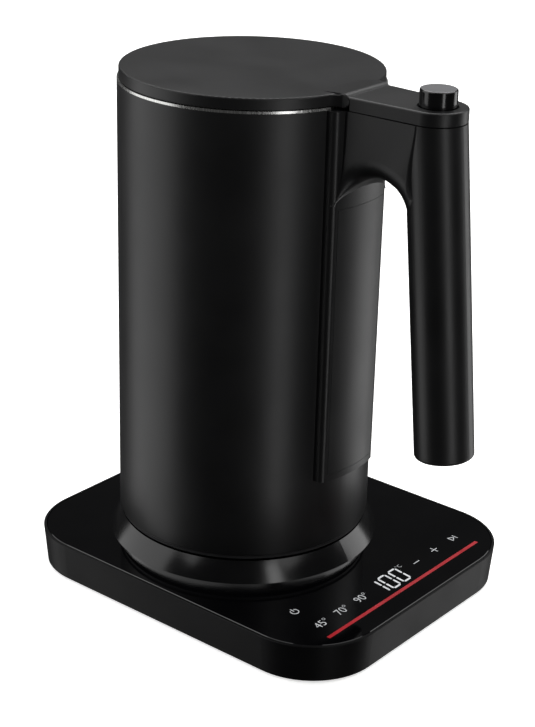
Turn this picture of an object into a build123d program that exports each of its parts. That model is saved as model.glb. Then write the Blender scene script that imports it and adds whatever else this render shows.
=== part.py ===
"""Electric temperature-control kettle on a glass-topped touch base.

Frame: origin on the jug's axis at table level, +X towards the handle and the
control strip, +Z up. All sizes are millimetres. Every physical piece is
written to its own STEP file in parts/.
"""
from build123d import *

import math
import os

# ---------------------------------------------------------------- driving sizes
# jug
jug_radius = 60.0            # outside of the plastic shell
jug_wall = 2.2
jug_high = 238.0             # upper edge of the shell, where the steel rim sits
jug_lift_gap = 2.8           # lower edge of the shell above the seat
shell_edge = 0.5             # chamfer along the shell's lower edge
pot_gap = 4.5                # air space between the shell and the steel pot
pot_wall = 0.8
pot_corner = 5.0
heater_space = 16.0          # from the shell's lower edge to the inside of the pot's floor
rim_thickness = 1.1          # silver rim under the lid

# base
base_length = 190.7
base_width = 157.0
base_offset = 16.05          # middle of the base, towards the control strip
base_corner = 35.0
base_top = 19.1
base_draft = 1.6             # how far the side leans in down to its lower edge
base_wall = 2.4
base_edge = 0.35             # bright chamfer round the glass
glass_thickness = 2.0
glass_border = 1.3           # housing rim round the glass
deck_thickness = 2.0
cover_thickness = 3.0
foot_radius = 7.5
foot_stand = 1.0             # how far the feet hold the base off the table
control_inset = 22.9         # row of touch symbols, from the front edge of the base
light_bar_inset = 12.3       # red line, from the same edge

# round seat that the jug stands on
seat_flare = 4.8             # foot of the seat beyond the jug
seat_height = 8.9            # above the glass
seat_wall = 2.4
dome_radius = 15.5
dome_height = 7.5            # above the seat
contact_pin_radius = 2.2
contact_ring_radius = 8.0
contact_ring_wall = 1.4

# handle
strip_thickness = 4.5        # leg of the handle that lies on the jug
strip_half_width = 19.4
strip_round = 3.0            # soft long edges of the leg
strip_low = 66.0
strip_rail = 3.2             # border of the leg left round its cover panel
panel_thickness = 1.6
grip_radius = 13.3
grip_wall = 2.2
grip_low = 90.0
grip_edge = 1.8
grip_reach = 38.6            # from the jug to the grip's axis, at the top
grip_lean = 5.82             # degrees, outwards going down
arch_height = 41.0           # top of the handle down to where the finger gap's arch begins
arch_round = 10.5            # soft lower edges of the arch
arch_half_width = 15.0       # beside the lid
tub_depth = 21.5             # space for the latch under the cap
cap_height = 6.2
cap_wall = 2.0
cap_edge = 0.9
cap_groove = 0.5             # shadow line under the cap

# lid and hinge
lid_thickness = 5.0
lid_inset = 0.8              # lid's edge inside the shell's
lid_gap = 0.3                # between the rim and the lid
lid_skin = 2.0
lid_edge = 0.7
hinge_reach = 1.3            # hinge axis outside the shell
hinge_rise = 4.0             # hinge axis above the shell
nose_radius = 3.2
plug_gap = 1.3               # between the lid's plug and the pot
plug_depth = 10.4
gasket_section = 1.8
ear_thickness = 2.0
ear_radius = 1.9
pin_radius = 0.9

# button and latch
button_inset = 5.3           # button's radius inside the grip's
button_rise = 7.4            # above the cap
button_travel = 4.0
button_hole_gap = 0.7
button_edge = 0.8
stem_radius = 2.0
cross_pin_radius = 1.2
latch_bar = 2.2

# spout
spout_reach = 12.0           # beyond the shell
spout_drop = 42.0            # tip of the beak below the shell's upper edge
spout_half_width = 15.0
spout_wall = 2.0

# fits
slip = 0.1                   # pieces fixed to each other
running = 0.3                # pieces that move past each other
seam = 0.15
screw_radius = 1.15
screw_head_radius = 2.6
screw_head_height = 1.5

# ---------------------------------------------------------------- derived sizes
housing_low = foot_stand
glass_low = base_top - glass_thickness
deck_low = glass_low - deck_thickness
cavity_low = housing_low + cover_thickness
seat_top = base_top + seat_height
seat_inside = seat_top - seat_wall
dome_top = seat_top + dome_height
jug_rest = seat_top + 0.2
jug_low = seat_top + jug_lift_gap
cover_low = jug_rest + 1.1
cover_top = cover_low + 2.0
recess_radius = dome_radius + 0.7
recess_top = dome_top + 0.7
shell_inside = jug_radius - jug_wall
pot_outside = shell_inside - pot_gap
pot_radius = pot_outside - pot_wall
pot_floor = jug_low + heater_space
pot_under = pot_floor - pot_wall
rim_top = jug_high + rim_thickness
lid_radius = jug_radius - lid_inset
lid_low = rim_top + lid_gap
lid_top = lid_low + lid_thickness
cap_top = jug_high + cap_height
button_top = cap_top + button_rise
hinge_x = jug_radius + hinge_reach
hinge_z = jug_high + hinge_rise
plug_radius = pot_radius - plug_gap
seat_radius = jug_radius + seat_flare
seat_shoulder = jug_radius - 1.0
strip_radius = jug_radius + strip_thickness
panel_low = strip_radius - panel_thickness
grip_top_x = jug_radius + grip_reach
arch_spring_z = jug_high - arch_height
tub_floor = jug_high - tub_depth
button_x = grip_top_x + 0.4
button_radius = grip_radius - button_inset
spout_low = jug_high - spout_drop
base_front = base_offset + base_length / 2
base_back = base_offset - base_length / 2
lean = math.radians(grip_lean)


def grip_axis_x(z):
    return grip_top_x + math.tan(lean) * (jug_high - z)


gap_left = strip_radius
gap_right = grip_axis_x(arch_spring_z) - grip_radius / math.cos(lean)
gap_radius = (gap_right - gap_left) / 2
gap_x = (gap_right + gap_left) / 2


# ---------------------------------------------------------------- shape helpers
def disc(radius, low, high, x=0.0, y=0.0):
    body = Cylinder(radius, high - low, align=(Align.CENTER, Align.CENTER, Align.MIN))
    return Pos(x, y, low) * Rot(0, 0, 90) * body


def ring(outer, inner, low, high):
    return disc(outer, low, high) - disc(inner, low - 1, high + 1)


def block(x_low, x_high, y_half, z_low, z_high, y_middle=0.0):
    body = Box(x_high - x_low, 2 * y_half, z_high - z_low,
               align=(Align.MIN, Align.CENTER, Align.MIN))
    return Pos(x_low, y_middle, z_low) * body


def rod_y(radius, x, z, y_low, y_high):
    body = Cylinder(radius, y_high - y_low, align=(Align.CENTER, Align.CENTER, Align.MIN))
    return Pos(x, y_low, z) * Rot(-90, 0, 0) * body


def rod_x(radius, x_low, x_high, z, y=0.0):
    body = Cylinder(radius, x_high - x_low, align=(Align.CENTER, Align.CENTER, Align.MIN))
    return Pos(x_low, y, z) * Rot(0, 90, 0) * body


def turned(points):
    """Solid of revolution about Z from an outline of (radius, z) points."""
    outline = Polyline([(r, 0, z) for r, z in points], close=True)
    return revolve(make_face(outline), Axis.Z)


def base_outline(inset, z):
    corner = max(base_corner - inset, 1.0)
    face = RectangleRounded(base_length - 2 * inset, base_width - 2 * inset, corner)
    return Pos(base_offset, 0, z) * face


def base_slab(inset, low, high):
    return extrude(base_outline(inset, low), high - low)


def leaning_rod(radius, z_low, z_high):
    """Round rod along the grip's axis between two heights."""
    foot = (grip_axis_x(z_low), 0, z_low)
    head = (grip_axis_x(z_high), 0, z_high)
    direction = Vector(head) - Vector(foot)
    circle = Plane(foot, z_dir=direction) * Circle(radius)
    return extrude(circle, direction.length)


def on_circle(radius, count, start=0.0):
    angles = [math.radians(start + 360 / count * i) for i in range(count)]
    return [(radius * math.cos(a), radius * math.sin(a)) for a in angles]


def screw_up(x, y, head_low, tip):
    """Pan-head screw driven upwards: head below, shank above."""
    head = disc(screw_head_radius, head_low, head_low + screw_head_height, x, y)
    return head + disc(screw_radius, head_low + screw_head_height, tip, x, y)


def save(name, *solids):
    shape = Compound(children=list(solids)) if len(solids) > 1 else solids[0]
    shape.label = name
    export_step(shape, os.path.join("parts", name + ".step"))


# ---------------------------------------------------------------- base
control_x = base_front - control_inset
touch_places = [(control_x, y) for y in (-52.8, -36.8, -22.6, 21.7, 36.2, 51.7)]
touch_places.append((control_x - 15.0, -51.5))
light_bar_x = base_front - light_bar_inset
light_bar_ends = (-59.7, 56.8)
light_bar_width = 1.8
display_centre = (control_x, 5.0)
display_size = (15.0, 26.0)
touch_radius = 2.8
board_top = deck_low - 3.0
board_thickness = 1.6
seat_screw_places = on_circle(seat_shoulder - 8.0, 3, 30.0)
corner_reach_x = base_length / 2 - 22.0
corner_reach_y = base_width / 2 - 14.0
corner_places = [(base_offset + sx * corner_reach_x, sy * corner_reach_y)
                 for sx in (-1, 1) for sy in (-1, 1)]
foot_inset = 16.0            # from a corner screw towards the middle
foot_places = [(x - math.copysign(foot_inset, x - base_offset), y) for x, y in corner_places]
foot_places.append((0.0, 0.0))   # under the jug, where the load is
gland_z = housing_low + 8.6
gland_bore = 3.0
gland_radius = 4.2
gland_inner = base_back + base_draft + base_wall + 2.5
spigot_outer = seat_radius - 3.2
spigot_inner = spigot_outer - seat_wall


def light_bar_slot(extra, low, high):
    y_low, y_high = light_bar_ends
    middle = (y_low + y_high) / 2
    half = (y_high - y_low) / 2 + extra
    reach = light_bar_width / 2 + extra
    return block(light_bar_x - reach, light_bar_x + reach, half, low, high, middle)


def display_block(extra, low, high):
    size_x, size_y = display_size
    x, y = display_centre
    return block(x - size_x / 2 - extra, x + size_x / 2 + extra, size_y / 2 + extra, low, high, y)


def make_base():
    lower = base_outline(base_draft, housing_low)
    upper = base_outline(0, base_top)
    housing = loft([lower.face(), upper.face()], ruled=True)
    rim = housing.faces().sort_by(Axis.Z)[-1].edges()
    housing = chamfer(rim, base_edge)
    housing -= base_slab(glass_border, glass_low, base_top + 1)
    housing -= base_slab(base_draft + base_wall, housing_low - 1, deck_low)
    housing -= disc(dome_radius + 8.0, deck_low - 1, glass_low + 1)
    housing -= display_block(slip * 3, deck_low - 1, glass_low + 1)
    housing -= light_bar_slot(slip * 3, deck_low - 1, glass_low + 1)
    for x, y in touch_places:
        housing -= disc(touch_radius + 0.4, deck_low - 1, glass_low + 1, x, y)
    for x, y in corner_places:
        housing += disc(4.0, cavity_low, deck_low, x, y)
        housing -= disc(screw_radius + slip, cavity_low - 1, deck_low - 1, x, y)
    for x, y in seat_screw_places:
        housing -= disc(screw_radius + slip, deck_low - 1, glass_low + 1, x, y)
    housing -= rod_x(gland_radius + slip, base_back - 2, gland_inner + 1.5, gland_z)
    save("base_housing", housing)

    glass = base_slab(glass_border + seam, glass_low, base_top)
    glass = chamfer(glass.faces().sort_by(Axis.Z)[-1].edges(), base_edge)
    glass -= disc(spigot_outer + slip, glass_low - 1, base_top + 1)
    glass -= light_bar_slot(slip / 2, glass_low - 1, base_top + 1)
    save("base_glass", glass)

    bar = light_bar_slot(0, board_top, base_top)
    save("light_bar", bar)

    cover = base_slab(base_draft + base_wall + slip, housing_low, cavity_low)
    for x, y in corner_places:
        cover -= disc(screw_head_radius + 0.3, housing_low - 1, housing_low + 1.7, x, y)
        cover -= disc(screw_radius + slip, housing_low, cavity_low + 1, x, y)
    feet = []
    for x, y in foot_places:
        cover -= disc(foot_radius + slip, housing_low - 1, housing_low + 1.5, x, y)
        foot = disc(foot_radius, 0, housing_low + 1.5, x, y)
        feet.append(fillet(foot.faces().sort_by(Axis.Z)[0].edges(), 0.4))
    save("bottom_cover", cover)
    save("rubber_feet", *feet)
    head_low = housing_low + 0.2
    screws = [screw_up(x, y, head_low, deck_low - 3) for x, y in corner_places]
    save("base_screws", *screws)

    outer_x = base_back - 3.0
    gland = rod_x(gland_radius, outer_x, gland_inner, gland_z)
    gland += rod_x(gland_radius + 1.1, gland_inner - 1.5, gland_inner, gland_z)
    gland += rod_x(gland_radius + 1.1, outer_x, base_back - 0.1, gland_z)
    gland -= rod_x(gland_bore, outer_x - 1, gland_inner + 1, gland_z)
    save("cord_gland", gland)


def make_electronics():
    board_half = corner_reach_y - 5.0
    board = block(control_x - 18, control_x + 13, board_half, board_top - board_thickness, board_top)
    save("control_board", board)
    pads = [disc(touch_radius, board_top, glass_low, x, y) for x, y in touch_places]
    save("touch_pads", *pads)
    shade = display_block(0, board_top, glass_low)
    cells = []
    size_x, size_y = display_size
    for i in range(3):
        y = display_centre[1] + (i - 1) * size_y / 3
        cells.append(block(control_x - size_x / 2 + 1.2, control_x + size_x / 2 - 1.2,
                           size_y / 6 - 1.0, board_top + 0.8, glass_low + 1, y))
    for cell in cells:
        shade -= cell
    save("display_module", shade)

    power_low = cavity_low + 1.5
    power_top = power_low + board_thickness
    tall = deck_low - screw_head_height - 0.8 - power_top
    near_x = base_back + 23.0
    plate = block(near_x, near_x + 52, 38, power_low, power_top)
    posts = [disc(3.0, cavity_low, power_low, near_x + x, y) for x in (6, 46) for y in (-32, 32)]
    save("power_board", plate, *posts)
    parts = [block(near_x + 6, near_x + 26, 8, power_top, power_top + tall, 11),
             block(near_x + 6, near_x + 28, 9, power_top, power_top + tall, -16),
             disc(5.0, power_top, power_top + tall, near_x + 42, 18),
             block(near_x + 36, near_x + 48, 7, power_top, power_top + tall - 1.5, -14)]
    save("power_parts", *parts)


def make_seat():
    low_r, top_r = seat_radius, seat_shoulder
    rise = seat_top - base_top
    with BuildSketch(Plane.XZ) as profile:
        with BuildLine():
            edge = Line((spigot_outer, base_top), (low_r, base_top))
            bend = (low_r - (low_r - top_r) * 0.54, base_top + rise * 0.58)
            slope = ThreePointArc(edge @ 1, bend, (top_r, seat_top))
            dome_hole = dome_radius + slip
            Polyline(slope @ 1, (dome_hole, seat_top), (dome_hole, seat_inside),
                     (spigot_inner, seat_inside), (spigot_inner, glass_low),
                     (spigot_outer, glass_low), (spigot_outer, base_top))
        make_face()
    seat = revolve(profile.sketch, Axis.Z)
    for x, y in seat_screw_places:
        post = disc(4.0, glass_low, seat_inside, x, y)
        seat += post
        seat -= disc(screw_radius + slip, glass_low - 1, seat_inside - 0.5, x, y)
    save("base_seat", seat)
    head_low = deck_low - screw_head_height
    screws = [screw_up(x, y, head_low, seat_inside - 1.5) for x, y in seat_screw_places]
    save("seat_screws", *screws)

    flange_low = seat_inside - 2.0
    ring_in = contact_ring_radius - contact_ring_wall / 2 - running
    ring_out = contact_ring_radius + contact_ring_wall / 2 + running
    dome = disc(dome_radius, flange_low - 4, dome_top) + disc(dome_radius + 4.5, flange_low, seat_inside)
    dome = fillet(dome.faces().sort_by(Axis.Z)[-1].edges(), 1.5)
    dome -= disc(contact_pin_radius + 0.4, flange_low, dome_top + 1)
    dome -= ring(ring_out, ring_in, seat_inside, dome_top + 1)
    save("base_connector", dome)
    pin_socket = disc(contact_pin_radius + 0.3, flange_low, flange_low + 1.2)
    ring_socket = ring(ring_out - slip, ring_in + slip, seat_inside, seat_inside + 0.8)
    save("connector_contacts", pin_socket, ring_socket)


# ---------------------------------------------------------------- jug
def spout_cone(inset, low):
    """Cone that the beak is cut from; inset is taken off its radius."""
    middle_x = -(jug_radius + spout_reach - spout_half_width)
    high = jug_high
    slope = (spout_half_width - 1.5) / (high - spout_low)
    low_radius = 1.5 + slope * (low - spout_low) - inset
    high_radius = spout_half_width - inset
    cone = Cone(low_radius, high_radius, high - low, align=(Align.CENTER, Align.CENTER, Align.MIN))
    return Pos(middle_x, 0, low) * cone


spout_inner_low = spout_low + 7.0
pocket_half = 8.0
pocket_low = jug_high - 17.0
bracket_x = jug_radius - 0.4
low_screw, high_screw = strip_low + 26.0, arch_spring_z - 5.0
handle_screw_heights = (low_screw, (low_screw + high_screw) / 2, high_screw)


def make_shell():
    shell = disc(jug_radius, jug_low, jug_high)
    shell = chamfer(shell.faces().sort_by(Axis.Z)[0].edges(), shell_edge)
    shell -= disc(shell_inside, jug_low - 1, jug_high + 1)
    shell -= spout_cone(0, spout_low)
    shell -= block(bracket_x, jug_radius + 2, pocket_half, pocket_low, jug_high + 1)
    for z in handle_screw_heights:
        shell -= rod_x(screw_radius + slip, shell_inside - 2, jug_radius + 2, z)
    for y in (-5.2, 5.2):
        shell -= rod_x(screw_radius + slip, shell_inside - 2, jug_radius + 2, pocket_low + 5, y)
    save("outer_shell", shell)

    pot = turned([(0, pot_under), (pot_outside - pot_corner, pot_under),
                  (pot_outside, pot_under + pot_corner), (pot_outside, jug_high),
                  (jug_radius, jug_high), (jug_radius, rim_top), (pot_radius, rim_top),
                  (pot_radius, pot_floor + pot_corner - 0.5),
                  (pot_radius - pot_corner + 0.5, pot_floor), (0, pot_floor)])
    pot -= block(jug_radius - 2.6, jug_radius + 2, strip_half_width, jug_high - 1, rim_top + 1)
    pot -= disc(5.2, pot_under - 1, pot_floor + 1)
    window = spout_cone(spout_wall, spout_inner_low)
    pot -= window & disc(pot_outside + 1, spout_inner_low, jug_high - 1.5)
    save("inner_pot", pot)

    beak = spout_cone(0, spout_low) - spout_cone(spout_wall, spout_inner_low)
    beak -= disc(pot_outside + slip / 2, spout_low - 1, jug_high + 1)
    beak -= block(-pot_outside, pot_outside, 60, spout_low - 1, jug_high + 1)
    save("spout_beak", *beak.solids())

    filter_low, filter_high = spout_inner_low - 1, jug_high - 12.0
    sieve = ring(pot_radius - 0.2, pot_radius - 1.2, filter_low, filter_high)
    sieve &= block(-pot_radius - 5, 0, 12.5, filter_low - 1, filter_high + 1)
    for row in range(5):
        for column in range(6):
            y = (column - 2.5) * 3.6
            z = filter_low + 3.4 + row * 4.2
            sieve -= rod_x(1.2, -pot_radius - 3, -pot_radius + 12, z, y)
    save("spout_filter", sieve)


def make_underside():
    spigot = shell_inside - slip
    collar = jug_radius - 0.8
    foot_out, foot_in = pot_radius + 1.5, pot_radius - 2.5
    cup_wall = 2.0
    centre = recess_radius + cup_wall + slip
    cover = turned([(centre, cover_low), (foot_in, cover_low), (foot_in, jug_rest),
                    (foot_out, jug_rest), (foot_out, cover_low), (collar, cover_low),
                    (collar, jug_low), (spigot, jug_low), (spigot, jug_low + 4),
                    (spigot - 2, jug_low + 4), (spigot - 2, cover_top), (centre, cover_top)])
    flange = centre + 5.0
    screw_places = on_circle(flange - 2.3, 3, 90)
    cup = turned([(0, recess_top), (recess_radius, recess_top), (recess_radius, cover_low),
                  (recess_radius + cup_wall, cover_low), (recess_radius + cup_wall, cover_top),
                  (flange, cover_top), (flange, cover_top + 1.6),
                  (recess_radius + cup_wall, cover_top + 1.6),
                  (recess_radius + cup_wall, recess_top + 2), (0, recess_top + 2)])
    cup -= disc(contact_pin_radius + slip, recess_top - 1, recess_top + 3)
    screws = []
    for x, y in screw_places:
        cover -= disc(1.1, cover_low - 1, cover_top + 1, x, y)
        cup -= disc(1.1, cover_top - 1, cover_top + 3, x, y)
        head = disc(2.0, cover_top + 1.6, cover_top + 2.8, x, y)
        screws.append(head + disc(1.0, cover_low + 0.4, cover_top + 1.6, x, y))
    save("jug_base_cover", cover)
    save("jug_connector", cup)
    save("connector_screws", *screws)

    pin_low = seat_inside
    pin = disc(contact_pin_radius, pin_low, recess_top + 2 + seam)
    pin = chamfer(pin.faces().sort_by(Axis.Z)[0].edges(), 0.6)
    pin += disc(contact_pin_radius + 1.8, recess_top + 2 + seam, recess_top + 3 + seam)
    save("coupler_pin", pin)
    half = contact_ring_wall / 2
    sleeve = ring(contact_ring_radius + half, contact_ring_radius - half, seat_top - 0.6,
                  recess_top - seam)
    save("coupler_ring", sleeve)

    rod = 3.2
    coil_radius = pot_radius - 18.5
    coil_z = pot_under - 5.2
    groove = Pos(0, 0, coil_z) * Torus(coil_radius, rod + 0.05)
    plate = disc(pot_outside - pot_corner - 1, pot_under - 4.0, pot_under) - groove
    plate -= disc(9.0, pot_under - 5, pot_under + 1)
    save("heater_plate", plate)
    element = Pos(0, 0, coil_z) * Torus(coil_radius, rod)
    element -= block(coil_radius - 10, coil_radius + 10, 9.0, coil_z - 5, coil_z + 5)
    tail_y = 16.0
    tail_x = math.sqrt(coil_radius ** 2 - tail_y ** 2)
    tails = [disc(1.4, coil_z - 7.5, coil_z - 1, tail_x, y) for y in (-tail_y, tail_y)]
    save("heating_element", element + tails)

    probe = disc(3.0, pot_under - 5, pot_floor + 8) + Pos(0, 0, pot_floor + 8) * Sphere(3.0)
    save("temp_probe", probe)
    seal = ring(5.1, 3.05, pot_under, pot_floor)
    seal += ring(7.5, 3.05, pot_floor, pot_floor + 1.6) + ring(7.5, 3.05, pot_under - 1.6, pot_under)
    save("probe_seal", seal)


# ---------------------------------------------------------------- handle
def half_width_at(x):
    """Half width of the arch and the cap, narrowing from the lid to the grip."""
    share = (min(max(x, jug_radius), grip_top_x) - jug_radius) / (grip_top_x - jug_radius)
    return arch_half_width + (grip_radius - arch_half_width) * share


def plan_outline(inset, x_start, low, high):
    """Plan shape of the arch and cap: two straight sides and a round end."""
    start, end = half_width_at(x_start) - inset, grip_radius - inset
    with BuildSketch(Plane.XY.offset(low)) as plan:
        with BuildLine():
            side = Line((x_start, -start), (grip_top_x, -end))
            tip = ThreePointArc(side @ 1, (grip_top_x + end, 0), (grip_top_x, end))
            Polyline(tip @ 1, (x_start, start), (x_start, -start))
        make_face()
    return extrude(plan.sketch, high - low)


arch_trim = 5.0              # the arch is built this much too high, then cut level with the jug


def arch_section(angle):
    """Section of the arch at one angle round the finger gap: 0 at the grip, 180 at the leg."""
    turn = math.radians(angle)
    near, far, soft = gap_radius, gap_radius + 1.5 * grip_radius, arch_round
    half = half_width_at(gap_x + (gap_radius + grip_radius) * math.cos(turn)) - 0.1
    if angle <= 45:
        share = 1 - angle / 45
        near += 1.5 * share
        half -= 1.5 * share
        soft = grip_radius - 2.0 - 3.0 * share
        outer = 0.6 * grip_radius
    else:
        outer = 1.0
        far = (arch_height + arch_trim) / max(math.sin(turn), 0.1)
    if angle > 90:
        share = (angle - 90) / 90
        near += 2.6 * share ** 2
        far = min(far, (gap_x - jug_radius + 1.5) / -math.cos(turn))
        half += (strip_half_width - arch_half_width) * share ** 3
        soft = max(0.8, arch_round * math.sin(turn) ** 1.4)
    radial = (math.cos(turn), 0, math.sin(turn))
    middle = (near + far) / 2
    origin = (gap_x + middle * radial[0], 0, arch_spring_z + middle * radial[2])
    plane = Plane(origin=origin, x_dir=(0, 1, 0), z_dir=(-radial[2], 0, radial[0]))
    sketch = Rectangle(2 * half, far - near)
    sketch = fillet(sketch.vertices().sort_by(Axis.Y)[2:], soft)
    sketch = fillet(sketch.vertices().sort_by(Axis.Y)[:2], outer)
    return (plane * sketch).face()


def make_handle():
    tub = plan_outline(cap_wall + 0.2, jug_radius - 1, tub_floor, jug_high + 1)
    above = block(0, 2 * grip_top_x, 60, jug_high, jug_high + 20)
    arch = loft([arch_section(22.5 * step) for step in range(9)]) - above
    arch -= disc(jug_radius, strip_low - 1, jug_high + 1)
    arch -= tub

    panel_high = arch_spring_z - 2
    strip = ring(strip_radius, jug_radius, strip_low, jug_high)
    strip &= block(40, strip_radius + 5, strip_half_width, strip_low, jug_high)
    strip = fillet(strip.edges().filter_by(Axis.Z).sort_by(Axis.X)[-2:], strip_round)
    recess = ring(strip_radius + 4, panel_low, strip_low + strip_rail, panel_high)
    recess &= block(40, strip_radius + 5, strip_half_width - strip_rail, strip_low, jug_high)
    strip -= recess
    strip -= tub
    for z in handle_screw_heights:
        strip -= rod_x(screw_radius + slip, jug_radius - 2, panel_low - 0.6, z)

    grip = leaning_rod(grip_radius, grip_low, jug_high + 4) - above
    grip = fillet(grip.edges().sort_by(Axis.Z)[0], grip_edge) - tub
    handle = arch + strip + grip
    handle -= leaning_rod(grip_radius - grip_wall, grip_low - 5, tub_floor - 5)
    save("handle_body", handle)

    panel = ring(strip_radius, panel_low + slip / 2, strip_low + strip_rail + seam,
                 panel_high - seam)
    panel &= block(40, strip_radius + 5, strip_half_width - strip_rail - seam, strip_low, jug_high)
    save("handle_panel", panel)
    plug = leaning_rod(grip_radius - grip_wall - slip, grip_low + 0.6, grip_low + 6)
    save("grip_plug", plug)
    screws = []
    for z in handle_screw_heights:
        head = rod_x(screw_head_radius, shell_inside - screw_head_height, shell_inside - 0.1, z)
        screws.append(head + rod_x(screw_radius, shell_inside - 0.2, panel_low - 0.8, z))
    save("handle_screws", *screws)


def make_cap():
    front = hinge_x + 1.2
    cap = plan_outline(0, front, jug_high, cap_top)
    cap = fillet(cap.faces().sort_by(Axis.Z)[-1].edges(), cap_edge)
    cap = chamfer(cap.faces().sort_by(Axis.Z)[0].edges(), cap_groove)
    cap -= plan_outline(cap_wall, front - 5, jug_high - 1, cap_top - cap_wall)
    cap -= disc(button_radius + button_hole_gap, jug_high, cap_top + 1, button_x)
    cap -= rod_y(nose_radius + 0.45, hinge_x, hinge_z, -40, 40)
    cap -= block(hinge_x - 5, hinge_x + nose_radius + 0.45, 40, jug_high - 1, hinge_z)
    cap = cap.solids().sort_by(SortBy.VOLUME)[-1]
    save("handle_cap", cap)


# ---------------------------------------------------------------- hinge
ear_gap = 4.2
ear_outer = ear_gap + ear_thickness
nose_slot = ear_outer + 0.25
pin_half = 12.0


def make_hinge():
    plate_high = jug_high - 2.0
    bracket = block(bracket_x, bracket_x + 2.0, pocket_half - 0.6, pocket_low + 0.5, plate_high)
    neck = 1.6
    for side in (-1, 1):
        middle = side * (ear_gap + ear_thickness / 2)
        ear = block(hinge_x - neck, hinge_x + neck, ear_thickness / 2, plate_high - 6, hinge_z, middle)
        ear += rod_y(ear_radius, hinge_x, hinge_z, middle - ear_thickness / 2, middle + ear_thickness / 2)
        bracket += ear
    bracket -= rod_y(pin_radius + 0.03, hinge_x, hinge_z, -20, 20)
    screws = []
    for y in (-5.2, 5.2):
        z = pocket_low + 5
        bracket -= rod_x(screw_radius + slip, bracket_x - 2, bracket_x + 4, z, y)
        head = rod_x(2.2, bracket_x + 2.0, bracket_x + 3.2, z, y)
        screws.append(head + rod_x(screw_radius, shell_inside + 0.2, bracket_x + 2.0, z, y))
    save("hinge_bracket", bracket)
    save("bracket_screws", *screws)
    save("hinge_pin", rod_y(pin_radius, hinge_x, hinge_z, -pin_half, pin_half))

    wire, coil = 0.3, 1.45
    turns = 6
    pitch = 1.1
    path = Helix(pitch, pitch * turns, coil)
    start = Plane(path @ 0, z_dir=path % 0)
    spring = sweep(start * Circle(wire), path=path, is_frenet=True)
    spring = Pos(hinge_x, pitch * turns / 2, hinge_z) * Rot(90, 0, 0) * spring
    save("hinge_spring", spring)


# ---------------------------------------------------------------- lid
def make_lid():
    cover = disc(lid_radius, lid_low, lid_top)
    cover = fillet(cover.faces().sort_by(Axis.Z)[-1].edges(), lid_edge)
    flare = 14.0
    with BuildSketch(Plane.XY.offset(lid_low)) as plan:
        with BuildLine():
            x_in = math.sqrt(lid_radius ** 2 - (arch_half_width + flare * 0.32) ** 2) - 1.0
            y_in = arch_half_width + flare * 0.32
            bend = RadiusArc((x_in, -y_in), (hinge_x, -arch_half_width), flare)
            Line(bend @ 1, (hinge_x, arch_half_width))
            other = RadiusArc((hinge_x, arch_half_width), (x_in, y_in), flare)
            Line(other @ 1, (x_in, -y_in))
        make_face()
    tongue = extrude(plan.sketch, lid_top - lid_low - 0.15)
    cover += tongue
    nose = rod_y(nose_radius, hinge_x, hinge_z, -arch_half_width, arch_half_width)
    cover += chamfer(nose.edges().filter_by(GeomType.CIRCLE), 0.5)
    crest_x = hinge_x - 6.0
    with BuildSketch(Plane.XZ) as profile:
        with BuildLine():
            Polyline((crest_x - 8, lid_top - 1), (crest_x - 6, lid_top - 0.05),
                     (hinge_x - 0.6, hinge_z + nose_radius - 0.06), (hinge_x, hinge_z),
                     (crest_x - 8, lid_top - 1))
        make_face()
    ramp = extrude(profile.sketch, arch_half_width - 0.6, both=True)
    cover += ramp
    cover -= turned([(0, lid_low - 1), (lid_radius - 2.2, lid_low - 1),
                     (lid_radius - 2.2, lid_top - lid_skin), (0, lid_top - lid_skin)]) \
        - block(plug_radius + 3.6, hinge_x + 9, arch_half_width - 0.5, lid_low - 2, lid_top)
    post_places = on_circle(plug_radius - 13.2, 4, 45)
    liner_low = lid_low + 0.2 - plug_depth
    liner_floor = liner_low + 1.5
    for x, y in post_places:
        cover += disc(3.2, liner_floor, lid_top - lid_skin + 0.5, x, y)
        cover -= disc(screw_radius + slip, liner_floor - 1, lid_top - lid_skin - 0.8, x, y)
    cover -= block(hinge_x - 2.3, hinge_x + 9, nose_slot, lid_low - 5, hinge_z + 1.85)
    cover -= rod_y(2.3, hinge_x, hinge_z, -nose_slot, nose_slot)
    cover -= rod_y(pin_radius + 0.05, hinge_x, hinge_z, -pin_half - 0.1, pin_half + 0.1)
    cover = cover.solids().sort_by(SortBy.VOLUME)[-1]
    save("lid_cover", cover)

    wall = 1.6
    gasket_z = jug_high - 2.6
    liner = turned([(0, liner_low), (plug_radius - 1, liner_low), (plug_radius, liner_low + 1),
                    (plug_radius, lid_low + 0.6), (plug_radius - wall - 0.8, lid_low + 0.6),
                    (plug_radius - wall - 0.8, liner_floor), (0, liner_floor)])
    liner -= ring(plug_radius + 1, plug_radius - 0.9, gasket_z, gasket_z + gasket_section)
    liner += turned([(plug_radius - 3, lid_low + 0.6), (plug_radius + 3.5, lid_low + 0.6),
                     (plug_radius + 3.5, lid_low + 1.8), (plug_radius - 3, lid_low + 1.8)])
    liner += ring(plug_radius - wall - 0.8, plug_radius - wall - 2.4, lid_low + 0.6,
                  lid_top - lid_skin)
    screws = []
    for x, y in post_places:
        liner -= disc(screw_radius + slip, liner_low - 1, liner_floor + 1, x, y)
        screws.append(screw_up(x, y, liner_low - screw_head_height, lid_low))
    save("lid_liner", liner)
    save("lid_screws", *screws)
    gasket = ring(pot_radius - 0.5, plug_radius - 0.9 + slip / 2, gasket_z + slip / 2,
                  gasket_z + gasket_section - slip / 2)
    save("lid_gasket", gasket)


# ---------------------------------------------------------------- release
cross_pin_z = tub_floor + 12.7
bar_low = cross_pin_z - button_travel - 1.2
bar_high = cross_pin_z + 3.4
spring_cup_radius = 4.2
bar_middle = spring_cup_radius + 2 * running + latch_bar / 2


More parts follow.
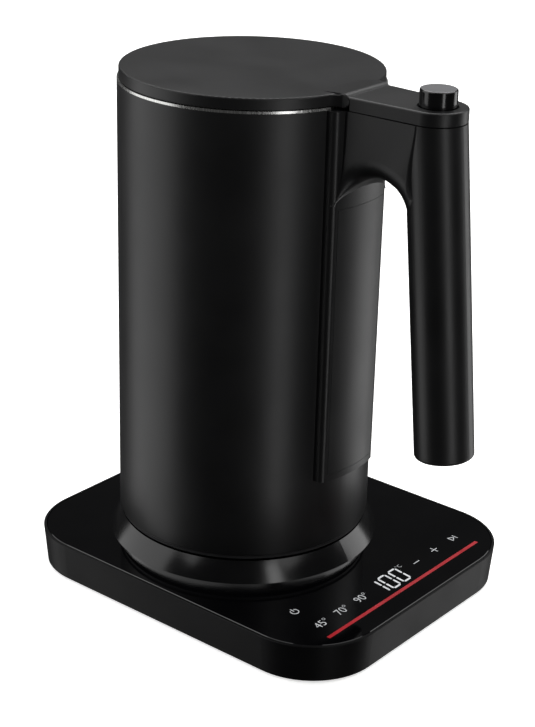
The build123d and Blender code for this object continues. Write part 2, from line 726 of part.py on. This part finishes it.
def make_release():
    skirt_low = bar_high + button_travel + 0.6
    flange_high = cap_top - cap_wall - 0.1
    flange_low = flange_high - 1.5
    button = disc(button_radius, skirt_low, button_top)
    button = fillet(button.faces().sort_by(Axis.Z)[-1].edges(), button_edge)
    button -= disc(button_radius - 1.6, skirt_low - 1, button_top - 2.0)
    button += ring(button_radius + 1.6, button_radius - 1, flange_low, flange_high)
    stem_low = cross_pin_z - 3.4
    button += disc(stem_radius, stem_low, button_top - 1.5)
    button += disc(spring_cup_radius, stem_low - 1.2, stem_low)
    button = Pos(button_x, 0, 0) * button
    button -= rod_y(cross_pin_radius + 0.03, button_x, cross_pin_z, -20, 20)
    save("release_button", button)
    pin_reach = bar_middle + latch_bar / 2 + 0.2
    save("button_pin", rod_y(cross_pin_radius, button_x, cross_pin_z, -pin_reach, pin_reach))

    front_x = hinge_x + nose_radius + 1.6
    rear_x = button_x + 3.5
    slider = block(front_x, rear_x, bar_middle + latch_bar / 2, bar_low, bar_high)
    slider -= block(front_x + 5, rear_x + 1, bar_middle - latch_bar / 2, bar_low - 1, bar_high + 1)
    tip = block(front_x, front_x + 1.6, 7.0, bar_high, hinge_z - 1.0)
    slider += tip
    play = cross_pin_radius + 0.25
    slot = rod_y(play, button_x, cross_pin_z, -30, 30)
    slot += rod_y(play, button_x - button_travel, cross_pin_z - button_travel, -30, 30)
    reach = button_travel * math.sqrt(2)
    middle = Pos(button_x - button_travel / 2, 0, cross_pin_z - button_travel / 2)
    slot += middle * Rot(0, -45, 0) * Box(reach, 60, 2 * play)
    slider -= slot
    save("latch_slider", slider)

    wire, coil = 0.4, 3.2
    low = tub_floor + wire
    high = stem_low - 1.2 - wire
    turns = 3
    path = Helix((high - low) / turns, high - low, coil)
    start = Plane(path @ 0, z_dir=path % 0)
    spring = sweep(start * Circle(wire), path=path, is_frenet=True)
    save("button_spring", Pos(button_x, 0, low) * spring)


def main():
    os.makedirs("parts", exist_ok=True)
    make_base()
    make_electronics()
    make_seat()
    make_shell()
    make_underside()
    make_handle()
    make_cap()
    make_hinge()
    make_lid()
    make_release()


main()
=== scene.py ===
import bpy
import bmesh
import math
from mathutils import Matrix, Vector


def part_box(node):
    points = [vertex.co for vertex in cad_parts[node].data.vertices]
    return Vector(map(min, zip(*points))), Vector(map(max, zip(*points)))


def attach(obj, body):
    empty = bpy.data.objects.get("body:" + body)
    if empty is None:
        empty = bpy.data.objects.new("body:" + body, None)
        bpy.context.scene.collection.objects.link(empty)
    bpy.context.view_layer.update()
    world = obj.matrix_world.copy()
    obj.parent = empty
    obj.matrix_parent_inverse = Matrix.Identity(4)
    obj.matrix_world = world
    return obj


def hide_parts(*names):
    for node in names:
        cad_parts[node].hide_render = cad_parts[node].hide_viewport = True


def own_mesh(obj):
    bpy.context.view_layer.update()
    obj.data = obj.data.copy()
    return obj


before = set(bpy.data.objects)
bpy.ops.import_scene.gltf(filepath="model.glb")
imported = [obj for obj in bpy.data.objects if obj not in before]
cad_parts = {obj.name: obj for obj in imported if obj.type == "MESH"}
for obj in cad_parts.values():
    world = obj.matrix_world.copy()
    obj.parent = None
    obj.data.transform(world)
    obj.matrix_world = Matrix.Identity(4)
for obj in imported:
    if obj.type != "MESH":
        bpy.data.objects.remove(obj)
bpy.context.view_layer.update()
print("frame loaded:", len(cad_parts), "parts")

scene = bpy.context.scene
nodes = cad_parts
mm = 0.001

# camera, looking down a little at the control side
cameraSetup = {
    "place": (0.4916, -0.5920, 0.4264),   # metres, in front of the control strip's left corner
    "heading": 128.963,                   # degrees from +X, counter-clockwise
    "down": 22.886,
    "roll": 1.502,
    "lens": 87.48,
    "sensor": 36,
    "clip": (0.05, 30),
}


def addCamera(setup):
    heading, down, roll = (math.radians(setup[key]) for key in ("heading", "down", "roll"))
    level = math.cos(down)
    forward = Vector((math.cos(heading) * level, math.sin(heading) * level, -math.sin(down)))
    side = Vector((math.sin(heading), -math.cos(heading), 0))
    up = side.cross(forward)
    rolledSide = side * math.cos(roll) + up * math.sin(roll)
    rolledUp = up * math.cos(roll) - side * math.sin(roll)
    data = bpy.data.cameras.new("productCamera")
    data.lens, data.sensor_width, data.sensor_fit = setup["lens"], setup["sensor"], "AUTO"
    data.clip_start, data.clip_end = setup["clip"]
    camera = bpy.data.objects.new("productCamera", data)
    turn = Matrix((rolledSide, rolledUp, -forward)).transposed().to_4x4()
    camera.matrix_world = Matrix.Translation(setup["place"]) @ turn
    scene.collection.objects.link(camera)
    scene.camera = camera


addCamera(cameraSetup)
print("camera set")


def hexToLinear(text):
    text = text.lstrip("#")
    parts = [int(text[i:i + 2], 16) / 255 for i in (0, 2, 4)]
    return [c / 12.92 if c <= 0.04045 else ((c + 0.055) / 1.055) ** 2.4 for c in parts] + [1]   # sRGB curve


def addNode(tree, kind, settings=None, links=None):
    node = tree.nodes.new(kind)              # settings name sockets or attributes, links name sockets
    for name, value in (settings or {}).items():
        if name in node.inputs:
            node.inputs[name].default_value = value
        else:
            setattr(node, name, value)
    for name, source in (links or {}).items():
        tree.links.new(source, node.inputs[name])
    return node


def newMaterial(name):
    material = bpy.data.materials.new(name)
    material.use_nodes = True
    tree = material.node_tree
    shader = tree.nodes["Principled BSDF"]
    where = addNode(tree, "ShaderNodeTexCoord").outputs["Object"]
    return material, tree, shader, where


def perMetre(sizeMm):
    return 1 / (sizeMm * mm)                     # texture scale for a pattern of this size


def grade(tree, source, low, high, fromLow=0.3, fromHigh=0.7):
    spread = addNode(tree, "ShaderNodeMapRange",
                     {"From Min": fromLow, "From Max": fromHigh, "To Min": low, "To Max": high},
                     {"Value": source})
    return spread.outputs["Result"]


def tint(tree, source, darkHex, lightHex, start=0.3, end=0.7):
    ramp = addNode(tree, "ShaderNodeValToRGB", None, {"Fac": source})
    ramp.color_ramp.elements[0].position, ramp.color_ramp.elements[1].position = start, end
    ramp.color_ramp.elements[0].color = hexToLinear(darkHex)
    ramp.color_ramp.elements[1].color = hexToLinear(lightHex)
    return ramp.outputs["Color"]


def moulded(name, dark, light, rough, grain, grainDepth, cloud, specular):
    material, tree, shader, where = newMaterial(name)      # grain, grainDepth and cloud in mm
    fine = addNode(tree, "ShaderNodeTexNoise", {"Scale": perMetre(grain), "Detail": 3.0}, {"Vector": where})
    wide = addNode(tree, "ShaderNodeTexNoise", {"Scale": perMetre(cloud), "Detail": 4.0}, {"Vector": where})
    tree.links.new(tint(tree, wide.outputs["Fac"], dark, light), shader.inputs["Base Color"])
    tree.links.new(grade(tree, wide.outputs["Fac"], *rough), shader.inputs["Roughness"])
    if grainDepth:
        bump = addNode(tree, "ShaderNodeBump", {"Strength": 1.0, "Distance": grainDepth * mm},
                       {"Height": fine.outputs["Fac"]})
        tree.links.new(bump.outputs["Normal"], shader.inputs["Normal"])
    shader.inputs["Specular IOR Level"].default_value = specular
    return material


# ABS, spark-textured mould: satin black, the grain only softens the highlight
shellLook = {"dark": "#070708", "light": "#0c0c0d", "rough": (0.36, 0.42),
             "grain": 0.45, "grainDepth": 0.012, "cloud": 35, "specular": 0.36}
absShell = moulded("sparkTexturedAbs", **shellLook)

# ABS, finely eroded mould round the base: the same black, but flatter and duller than the jug
baseLook = {"dark": "#060607", "light": "#0a0a0b", "rough": (0.40, 0.48),
            "grain": 0.6, "grainDepth": 0.015, "cloud": 30, "specular": 0.09}
absBase = moulded("erodedAbs", **baseLook)

# float glass, printed black on its back: deep black under a clean mirror surface
glassLook = {"dark": "#020203", "light": "#050506", "rough": (0.035, 0.075),
             "grain": 0.5, "grainDepth": 0, "cloud": 28, "specular": 0.5}
glassTop = moulded("backPrintedGlass", **glassLook)

# ABS from a polished mould: piano black with the faint waviness of a moulding
seatLook = {"dark": "#050506", "light": "#09090a", "rough": (0.15, 0.21),
            "grain": 9.0, "grainDepth": 0.01, "cloud": 20, "specular": 0.5}
seatGloss = moulded("polishedAbs", **seatLook)

# glass-filled nylon, plain moulded: dull dark grey with a coarse mottle
nylonLook = {"dark": "#151516", "light": "#1e1e20", "rough": (0.5, 0.62),
             "grain": 0.7, "grainDepth": 0.03, "cloud": 6, "specular": 0.4}
nylonInner = moulded("glassFilledNylon", **nylonLook)

# natural rubber, compression moulded: flat black with a fine bloom
rubberLook = {"dark": "#121212", "light": "#1c1c1b", "rough": (0.72, 0.86),
              "grain": 0.8, "grainDepth": 0.05, "cloud": 5, "specular": 0.3}
footRubber = moulded("mouldedRubber", **rubberLook)

# silicone, moulded: milky grey, slightly waxy
siliconeLook = {"dark": "#6c6c6b", "light": "#7e7e7c", "rough": (0.42, 0.55),
                "grain": 0.9, "grainDepth": 0.02, "cloud": 8, "specular": 0.4}
sealSilicone = moulded("mouldedSilicone", **siliconeLook)

# polyurethane foam, carbon filled: open cells on dark grey
foamLook = {"dark": "#2e2e2f", "light": "#4a4a4c", "rough": (0.85, 0.95),
            "grain": 0.6, "grainDepth": 0.15, "cloud": 1.2, "specular": 0.2}
padFoam = moulded("carbonFoam", **foamLook)

# polycarbonate light box: matt white
lightBoxLook = {"dark": "#d8d8d4", "light": "#e8e8e5", "rough": (0.45, 0.55),
                "grain": 0.8, "grainDepth": 0.01, "cloud": 10, "specular": 0.4}
lightBox = moulded("whitePolycarbonate", **lightBoxLook)

buttonLook = {"side": {"dark": "#050506", "light": "#09090a", "rough": (0.13, 0.19),
                       "grain": 6.0, "grainDepth": 0.006, "cloud": 9, "specular": 0.45},
              # the top's lighter grey is a painted highlight, not the plastic's own colour
              "topPaintedHighlight": "#565658", "topRough": 0.42,
              "topFacing": (0.85, 0.98)}            # how far up a face has to look to count as top


# ABS button, polished sides and a satin top. The top's lighter grey is a painted highlight that stands in
# for the room light the top catches
def paintedHighlightTopAbs(look):
    material = moulded("paintedHighlightTopAbs", **look["side"])
    tree = material.node_tree
    shader = tree.nodes["Principled BSDF"]
    facing = addNode(tree, "ShaderNodeNewGeometry").outputs["Normal"]
    upward = addNode(tree, "ShaderNodeSeparateXYZ", None, {"Vector": facing}).outputs["Z"]
    isTop = grade(tree, upward, 0.0, 1.0, *look["topFacing"])
    colour, rough = shader.inputs["Base Color"], shader.inputs["Roughness"]
    sideColour, sideRough = colour.links[0].from_socket, rough.links[0].from_socket
    # painted highlight: upward-facing faces are mixed towards a lighter grey
    mix = addNode(tree, "ShaderNodeMixRGB", {"Color2": hexToLinear(look["topPaintedHighlight"])},
                  {"Fac": isTop, "Color1": sideColour})
    step = addNode(tree, "ShaderNodeMapRange", {"To Max": look["topRough"]},
                   {"Value": isTop, "To Min": sideRough})
    tree.links.new(mix.outputs["Color"], colour)
    tree.links.new(step.outputs["Result"], rough)
    return material


buttonAbs = paintedHighlightTopAbs(buttonLook)


def brushed(name, dark, light, rough, line, along, depth):
    material, tree, shader, where = newMaterial(name)      # line and depth in mm
    stretch = [1.0, 1.0, 1.0]
    stretch[along] = 0.02                        # the lines run along this axis: 0 x, 1 y, 2 z
    mapped = addNode(tree, "ShaderNodeMapping", {"Scale": stretch}, {"Vector": where})
    lines = addNode(tree, "ShaderNodeTexNoise", {"Scale": perMetre(line), "Detail": 5.0},
                    {"Vector": mapped.outputs["Vector"]})
    tree.links.new(tint(tree, lines.outputs["Fac"], dark, light), shader.inputs["Base Color"])
    tree.links.new(grade(tree, lines.outputs["Fac"], *rough), shader.inputs["Roughness"])
    bump = addNode(tree, "ShaderNodeBump", {"Strength": 1.0, "Distance": depth * mm},
                   {"Height": lines.outputs["Fac"]})
    tree.links.new(bump.outputs["Normal"], shader.inputs["Normal"])
    shader.inputs["Metallic"].default_value = 1.0
    return material


# stainless steel, drawn and polished round the mouth: pale grey with faint upright draw lines
potLook = {"dark": "#b4b4b2", "light": "#d2d2d0", "rough": (0.2, 0.32),
           "line": 0.6, "along": 2, "depth": 0.004}
potSteel = brushed("drawnStainless", **potLook)

# mild steel, zinc plated: cool grey with a slight yellow cast
screwLook = {"dark": "#a8a8a0", "light": "#c4c4be", "rough": (0.3, 0.45),
             "line": 0.5, "along": 0, "depth": 0.004}
screwSteel = brushed("zincPlatedSteel", **screwLook)

# aluminium, cast then turned: soft grey with broad tool lines
heaterLook = {"dark": "#a9abad", "light": "#c3c5c7", "rough": (0.35, 0.5),
              "line": 0.7, "along": 1, "depth": 0.01}
heaterMetal = brushed("turnedAluminium", **heaterLook)

# brass, turned: warm yellow with fine tool lines
brassLook = {"dark": "#b08d4a", "light": "#cfae6b", "rough": (0.22, 0.34),
             "line": 0.3, "along": 0, "depth": 0.004}
contactBrass = brushed("turnedBrass", **brassLook)

boardLook = {"dark": "#0d3a1e", "light": "#155229", "rough": (0.3, 0.42), "weave": 1.1, "spread": (0.1, 0.6)}


# epoxy laminate under solder resist: deep green with a faint weave
def solderResist(look):
    material, tree, shader, where = newMaterial("solderResist")
    weave = addNode(tree, "ShaderNodeTexVoronoi", {"Scale": perMetre(look["weave"])}, {"Vector": where})
    cells = weave.outputs["Distance"]
    colour = tint(tree, cells, look["dark"], look["light"], *look["spread"])
    tree.links.new(colour, shader.inputs["Base Color"])
    tree.links.new(grade(tree, cells, *look["rough"], *look["spread"]), shader.inputs["Roughness"])
    return material


boardResist = solderResist(boardLook)

guideLook = {"dark": "#8c141c", "light": "#a01a24", "body": "#5a0a10", "glow": 0.9,
             "rough": (0.25, 0.35), "cloud": 14, "roughFrom": (0, 1)}


def glowing(name, dark, light, body, glow, rough, cloud, roughFrom=(0.3, 0.7)):
    material, tree, shader, where = newMaterial(name)
    soft = addNode(tree, "ShaderNodeTexNoise", {"Scale": perMetre(cloud), "Detail": 1.0}, {"Vector": where})
    tree.links.new(tint(tree, soft.outputs["Fac"], dark, light), shader.inputs["Emission Color"])
    shader.inputs["Emission Strength"].default_value = glow
    shader.inputs["Base Color"].default_value = hexToLinear(body)
    tree.links.new(grade(tree, soft.outputs["Fac"], *rough, *roughFrom), shader.inputs["Roughness"])
    return material


# acrylic light guide over red diodes: a nearly even red glow
redGuide = glowing("redLightGuide", **guideLook)

# printed windows with white diodes behind them: cool white, digits brighter than the symbols
digitLook = {"dark": "#b8bcc0", "light": "#dcdfe2", "body": "#9a9a9a", "glow": 0.72,
             "rough": (0.25, 0.4), "cloud": 3.0}
digitGlow = glowing("litWindowDigits", **digitLook)
symbolLook = {"dark": "#a0a4a8", "light": "#c0c4c8", "body": "#9a9a9a", "glow": 0.5,
              "rough": (0.25, 0.4), "cloud": 3.0}
symbolGlow = glowing("litWindowSymbols", **symbolLook)

finishes = {
    "base_housing": absBase, "outer_shell": absShell, "spout_beak": absShell, "handle_body": absShell,
    "handle_panel": absShell, "handle_cap": absShell, "grip_plug": absShell, "lid_cover": absShell,
    "base_glass": glassTop, "base_seat": seatGloss, "release_button": buttonAbs,
    "bottom_cover": nylonInner, "power_parts": nylonInner, "base_connector": nylonInner,
    "jug_base_cover": nylonInner, "jug_connector": nylonInner, "lid_liner": nylonInner,
    "latch_slider": nylonInner,
    "rubber_feet": footRubber, "cord_gland": footRubber, "touch_pads": padFoam,
    "probe_seal": sealSilicone, "lid_gasket": sealSilicone,
    "inner_pot": potSteel, "heating_element": potSteel, "temp_probe": potSteel, "spout_filter": potSteel,
    "heater_plate": heaterMetal, "connector_contacts": contactBrass, "coupler_pin": contactBrass,
    "coupler_ring": contactBrass, "control_board": boardResist, "power_board": boardResist,
    "display_module": lightBox, "light_bar": redGuide,
}
for name, part in nodes.items():
    part.data.materials.clear()
    part.data.materials.append(finishes.get(name, screwSteel))
print("materials on", len(nodes), "parts")

# symbols lie on the glass, all placed from the touch row beside the red line
glassLow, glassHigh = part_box("base_glass")
barLow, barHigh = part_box("light_bar")
symbolRow = barLow.x - 9.6 * mm                # the touch row lies inside the red line
symbolPrint = {"thick": 0.05 * mm, "stroke": 0.45 * mm, "lift": 0.06 * mm}


def finishPiece(piece, body, material):
    piece.data.materials.append(material)
    scene.collection.objects.link(piece)
    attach(piece, body)


def platesFrom(name, outlines, thick):
    mesh = bmesh.new()                           # closed thin plates, one for each outline
    for outline in outlines:
        top = [mesh.verts.new((x, y, thick)) for x, y in outline]
        under = [mesh.verts.new((x, y, 0)) for x, y in outline]
        mesh.faces.new(top)
        mesh.faces.new(list(reversed(under)))
        count = len(outline)
        for i in range(count):
            j = (i + 1) % count
            mesh.faces.new((under[i], under[j], top[j], top[i]))
    bmesh.ops.recalc_face_normals(mesh, faces=mesh.faces)
    data = bpy.data.meshes.new(name)
    mesh.to_mesh(data)
    mesh.free()
    return bpy.data.objects.new(name, data)


def layOnGlass(piece, x, y):
    turn = Matrix.Rotation(math.radians(90), 4, "Z")          # read from the control side
    piece.data.transform(Matrix.Translation((x, y, glassHigh.z + symbolPrint["lift"])) @ turn)


def strip(x0, y0, x1, y1, width, cut=0.0):
    a, b = Vector((x0, y0)), Vector((x1, y1))    # cut is the length of the pointed ends
    along = (b - a).normalized()
    across = Vector((-along.y, along.x)) * width / 2
    point = along * cut
    if not cut:
        return [a - across, b - across, b + across, a + across]
    return [a, a + point - across, b - point - across, b, b - point + across, a + point + across]


def arcStrips(radius, start, end, width, pieces=28):
    outer, inner = [], []
    for i in range(pieces + 1):
        angle = math.radians(start + (end - start) * i / pieces)
        ray = Vector((math.cos(angle), math.sin(angle)))
        outer.append(ray * (radius + width / 2))
        inner.append(ray * (radius - width / 2))
    return [[inner[i], outer[i], outer[i + 1], inner[i + 1]] for i in range(pieces)]


digits = {"shown": "100", "height": 10.6 * mm, "width": 5.2 * mm, "pitch": 8.0 * mm, "segment": 1.0 * mm,
          "gap": 0.22 * mm, "slant": 0.14, "fromRow": 1.7 * mm, "y": -2.6 * mm}
lampsOn = {"1": "bc", "0": "abcdef"}


def sevenSegments(text, look):
    h, w, s, g = look["height"] / 2, look["width"] / 2, look["segment"], look["gap"]
    ends = {"a": (-w, h, w, h), "d": (-w, -h, w, -h), "f": (-w, 0, -w, h),
            "b": (w, 0, w, h), "e": (-w, -h, -w, 0), "c": (w, -h, w, 0)}
    outlines = []
    for place, digit in enumerate(text):
        shift = (place - (len(text) - 1) / 2) * look["pitch"]
        for lamp in lampsOn[digit]:
            x0, y0, x1, y1 = ends[lamp]
            a, b = Vector((x0, y0)), Vector((x1, y1))
            pull = (b - a).normalized() * g
            a, b = a + pull, b - pull
            outline = strip(a.x, a.y, b.x, b.y, s, s / 2)
            outlines.append([(p.x + shift + p.y * look["slant"], p.y) for p in outline])
    return outlines


symbols = {                                      # mm; places are distance from the touch row, then y
    "powerSymbol": (-14, -52.6),
    "minusSymbol": (0.6, 20.8),
    "plusSymbol": (0, 36.2),
    "playSymbol": (0, 51.7),
}
symbolSizes = {"powerRing": 1.9, "powerGap": (125, 415), "powerStem": (0.3, 2.6),
               "crossArm": 2.2, "playSide": 1.7, "playTip": 0.7, "playBar": 1.2}


def symbolOutlines():
    w, sizes = symbolPrint["stroke"], symbolSizes
    stemLow, stemHigh = (end * mm for end in sizes["powerStem"])
    power = arcStrips(sizes["powerRing"] * mm, *sizes["powerGap"], w) + [strip(0, stemLow, 0, stemHigh, w)]
    arm = sizes["crossArm"] * mm
    minus = [strip(-arm, 0, arm, 0, w)]
    plus = minus + [strip(0, w / 2, 0, arm, w), strip(0, -arm, 0, -w / 2, w)]
    side = sizes["playSide"] * mm
    tip, bar = side * sizes["playTip"], side * sizes["playBar"]
    play = [strip(-side, -side, -side, side, w), strip(-side, side, tip, 0, w),
            strip(-side, -side, tip, 0, w), strip(bar, -side, bar, side, w)]
    return {"powerSymbol": power, "minusSymbol": minus, "plusSymbol": plus, "playSymbol": play}


def addSymbols():
    outlines = symbolOutlines()
    for name, (fromRow, y) in symbols.items():
        piece = platesFrom(name, outlines[name], symbolPrint["thick"])
        layOnGlass(piece, symbolRow + fromRow * mm, y * mm)
        finishPiece(piece, "base", symbolGlow)
    lamps = platesFrom("litDigits", sevenSegments(digits["shown"], digits), symbolPrint["thick"])
    layOnGlass(lamps, symbolRow + digits["fromRow"], digits["y"])
    finishPiece(lamps, "base", digitGlow)


labels = {                                       # text, distance from the touch row, y, height in mm
    "labelLow": ("45°", 1.3, -52.1, 4.7),
    "labelMiddle": ("70°", 1.2, -37.3, 4.7),
    "labelHigh": ("90°", 1.1, -22.7, 4.7),
    "labelUnit": ("°C", -3.1, 11.5, 2.5),
}
letterCut = {"scale": 1.35, "thin": -0.06 * mm}  # font size for a figure's height, and thinner strokes


def addLabels():
    for name, (text, fromRow, y, size) in labels.items():
        curve = bpy.data.curves.new(name, "FONT")
        curve.body, curve.size = text, size * letterCut["scale"] * mm
        curve.align_x, curve.align_y = "CENTER", "CENTER"
        curve.extrude, curve.offset = symbolPrint["thick"] / 2, letterCut["thin"]
        source = bpy.data.objects.new(name + "Source", curve)
        scene.collection.objects.link(source)
        bpy.context.view_layer.update()
        solved = source.evaluated_get(bpy.context.evaluated_depsgraph_get())
        mesh = bpy.data.meshes.new_from_object(solved)
        bpy.data.objects.remove(source)
        mesh.materials.clear()
        piece = bpy.data.objects.new(name, mesh)
        layOnGlass(piece, symbolRow + fromRow * mm, y * mm)
        finishPiece(piece, "base", symbolGlow)


addSymbols()
addLabels()
print("symbols laid on the glass")


def addReturnSpring():
    source = nodes["button_spring"]
    piece = bpy.data.objects.new("returnSpring", source.data.copy())
    piece.data.transform(source.matrix_world)
    scene.collection.objects.link(piece)
    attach(piece, "jug")
    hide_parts("button_spring")
    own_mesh(piece)


addReturnSpring()

# paper sweep and soft boxes
studio = {
    "floorSize": 9.0,               # metres
    "floorLight": "#f4f4f3",
    "floorDark": "#eeeeed",
    "floorGlow": 0.6,               # evens the sweep out to plain white
    "floorRough": 0.9,
    "floorShine": 0.1,
    "floorFibre": 60,               # mm
    "world": 0.05,
    "lights": {                     # azimuth, distance, middle height, aim height, width, tall, brightness
        "leftBox": (-143, 1.15, 0.12, 0.12, 1.15, 2.2, 1.5),
        "rightBox": (60, 1.15, 0.12, 0.12, 0.55, 2.2, 2.2),
        "sliverBox": (-22, 1.30, 0.12, 0.12, 0.26, 2.0, 3.4),
        "leftHighBox": (-128, 0.85, 1.05, 0.0, 1.4, 0.7, 1.3),
        "rightHighBox": (22, 0.85, 1.05, 0.0, 1.4, 0.7, 1.3),
        "topBox": (125, 0.75, 1.9, 0.0, 2.2, 2.0, 3.9),
    },
}


def addFloor():
    mesh = bmesh.new()
    bmesh.ops.create_grid(mesh, x_segments=24, y_segments=24, size=studio["floorSize"] / 2)
    data = bpy.data.meshes.new("studioFloor")
    mesh.to_mesh(data)
    mesh.free()
    floor = bpy.data.objects.new("studioFloor", data)
    material, tree, shader, where = newMaterial("paperSweep")   # matt paper: even, very slightly mottled
    fibre = addNode(tree, "ShaderNodeTexNoise", {"Scale": perMetre(studio["floorFibre"]), "Detail": 3.0},
                    {"Vector": where})
    tree.links.new(tint(tree, fibre.outputs["Fac"], studio["floorDark"], studio["floorLight"]),
                   shader.inputs["Base Color"])
    shader.inputs["Roughness"].default_value = studio["floorRough"]
    shader.inputs["Specular IOR Level"].default_value = studio["floorShine"]
    shader.inputs["Emission Color"].default_value = (1, 1, 1, 1)
    shader.inputs["Emission Strength"].default_value = studio["floorGlow"]
    data.materials.append(material)
    scene.collection.objects.link(floor)
    # the object is lit and mirrored by the boxes alone, never by the floor
    floor.visible_glossy = floor.visible_diffuse = floor.visible_shadow = False


def addLights():
    for name, (azimuth, distance, height, aim, width, tall, bright) in studio["lights"].items():
        data = bpy.data.lights.new(name, "AREA")
        data.shape, data.size, data.size_y = "RECTANGLE", width, tall
        data.energy = bright * math.pi * width * tall
        light = bpy.data.objects.new(name, data)
        turn = math.radians(azimuth)
        light.location = (distance * math.cos(turn), distance * math.sin(turn), height)
        light.rotation_euler = (Vector((0, 0, aim)) - light.location).to_track_quat("-Z", "Y").to_euler()
        light.visible_camera = False
        scene.collection.objects.link(light)
    world = bpy.data.worlds.new("studioWorld")
    world.use_nodes = True
    world.node_tree.nodes["Background"].inputs["Color"].default_value = (1, 1, 1, 1)
    world.node_tree.nodes["Background"].inputs["Strength"].default_value = studio["world"]
    scene.world = world
    scene.view_settings.view_transform = "Standard"


addFloor()
addLights()
print("floor and lights set")
